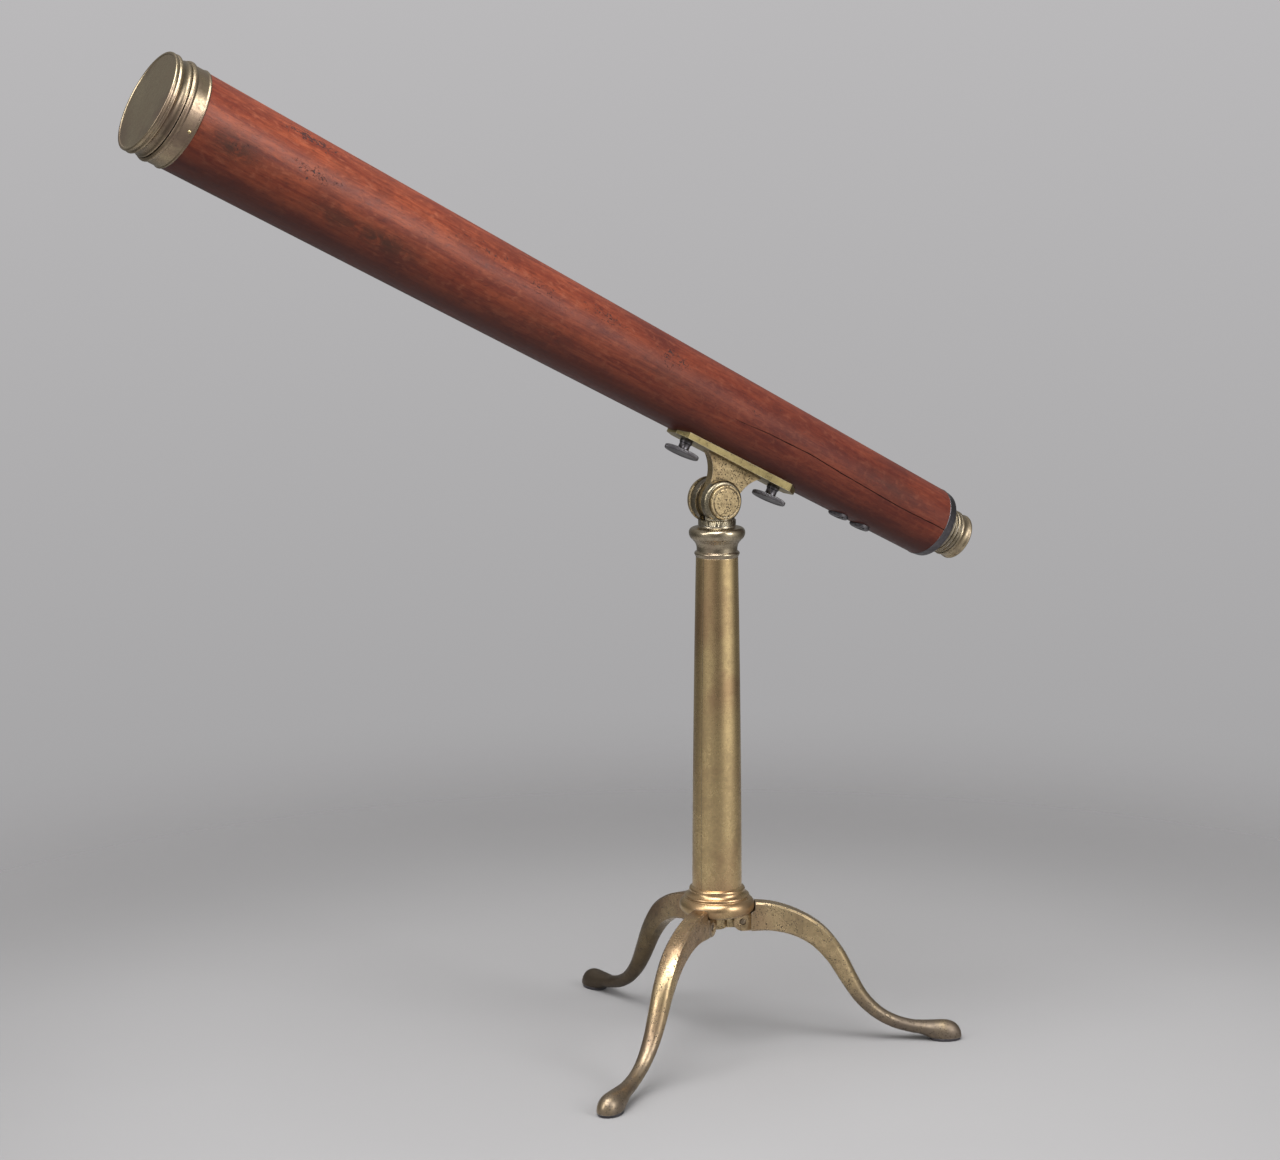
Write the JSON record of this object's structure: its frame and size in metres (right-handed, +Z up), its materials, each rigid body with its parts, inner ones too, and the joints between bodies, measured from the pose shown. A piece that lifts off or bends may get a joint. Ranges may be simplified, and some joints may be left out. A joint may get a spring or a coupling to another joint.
{
  "type": "library telescope",
  "caption": "Tapered wooden refracting telescope with brass ends, dust cap and sliding eyepiece, tilting on a turned brass pillar with folding cabriole legs.",
  "frame": {"origin": "on the pillar's axis, at the level of the undersides of the three feet", "axes": "+Z up; the tube lies in the XZ plane and points towards -X, raised by 27.3 degrees"},
  "size_m": [0.713, 0.3097, 0.7819],
  "materials": {
    "mahogany": "satin french-polished mahogany",
    "turned_wood": "bare turned wood",
    "aged_brass": "turned, dulled and tarnished",
    "cast_brass": "cast and filed, pitted, dulled",
    "dark_brass": "darkened",
    "plain_brass": "turned",
    "blackened_brass": "blackened against reflections",
    "optical_glass": "polished"
  },
  "bodies": {
    "stand": {"pillar_tube": "aged_brass", "pillar_capital": "aged_brass", "base_moulding": "aged_brass", "leg_hub": "cast_brass", "leg_hinge_pins": "plain_brass"},
    "leg_right": {"leg_right": "cast_brass", "foot_sole_right": "cast_brass"},
    "leg_rear": {"leg_rear": "cast_brass", "foot_sole_rear": "cast_brass"},
    "leg_left": {"leg_left": "cast_brass", "foot_sole_left": "cast_brass"},
    "head": {"knuckle_yoke": "cast_brass", "clamp_screw": "aged_brass", "head_spindle": "plain_brass", "spindle_nut": "plain_brass"},
    "telescope": {"tilt_bracket": "cast_brass", "barrel": "mahogany", "threaded_bushes": "plain_brass", "objective_ferrule": "aged_brass", "objective_ferrule_pins": "plain_brass", "objective_cell": "blackened_brass", "flint_lens": "optical_glass", "crown_lens": "optical_glass", "lens_retaining_ring": "blackened_brass", "eye_ferrule": "dark_brass", "guide_sleeve": "plain_brass", "sleeve_collar": "turned_wood", "sleeve_screws": "dark_brass"},
    "draw": {"draw_tube": "plain_brass", "eyecup": "aged_brass", "eyepiece_tube": "blackened_brass", "eye_lens": "optical_glass", "field_lens": "optical_glass", "field_stop": "blackened_brass", "erector_tube": "blackened_brass", "erector_lens_rear": "optical_glass", "erector_lens_front": "optical_glass", "erector_stop": "blackened_brass"},
    "cap": {"dust_cap": "aged_brass"},
    "thumbscrew_front": {"thumbscrew_front": "dark_brass"},
    "thumbscrew_rear": {"thumbscrew_rear": "dark_brass"}
  },
  "joints": [
    {"name": "head_turn", "type": "hinge", "parent": "stand", "child": "head", "pos_m": [0, 0, 0.4212], "axis": [0, 0, 1], "continuous": true},
    {"name": "head_tilt", "type": "hinge", "parent": "head", "child": "telescope", "pos_m": [0, 0, 0.44], "axis": [0, 1, 0], "range_deg": [-45, 45]},
    {"name": "leg_fold_right", "type": "hinge", "parent": "stand", "child": "leg_right", "pos_m": [0.01803, -0.00911, 0.102], "axis": [0.4509, 0.8926, 0], "range_deg": [0, 55]},
    {"name": "leg_fold_rear", "type": "hinge", "parent": "stand", "child": "leg_rear", "pos_m": [-0.00113, 0.02017, 0.102], "axis": [-0.9984, -0.0558, 0], "range_deg": [0, 55]},
    {"name": "leg_fold_left", "type": "hinge", "parent": "stand", "child": "leg_left", "pos_m": [-0.0169, -0.01106, 0.102], "axis": [0.5476, -0.8368, 0], "range_deg": [0, 55]},
    {"name": "draw_slide", "type": "slide", "parent": "telescope", "child": "draw", "axis": [0.8886, 0, -0.4587], "range_m": [0, 0.15]},
    {"name": "cap_slide", "type": "slide", "parent": "telescope", "child": "cap", "axis": [-0.8886, 0, 0.4587], "range_m": [0, 0.06]},
    {"name": "thumbscrew_front_turn", "type": "hinge", "parent": "telescope", "child": "thumbscrew_front", "pos_m": [-0.03031, 0, 0.48321], "axis": [0.4587, 0, 0.8886], "continuous": true},
    {"name": "thumbscrew_rear_turn", "type": "hinge", "parent": "telescope", "child": "thumbscrew_rear", "pos_m": [0.04922, 0, 0.44216], "axis": [0.4587, 0, 0.8886], "continuous": true}
  ]
}
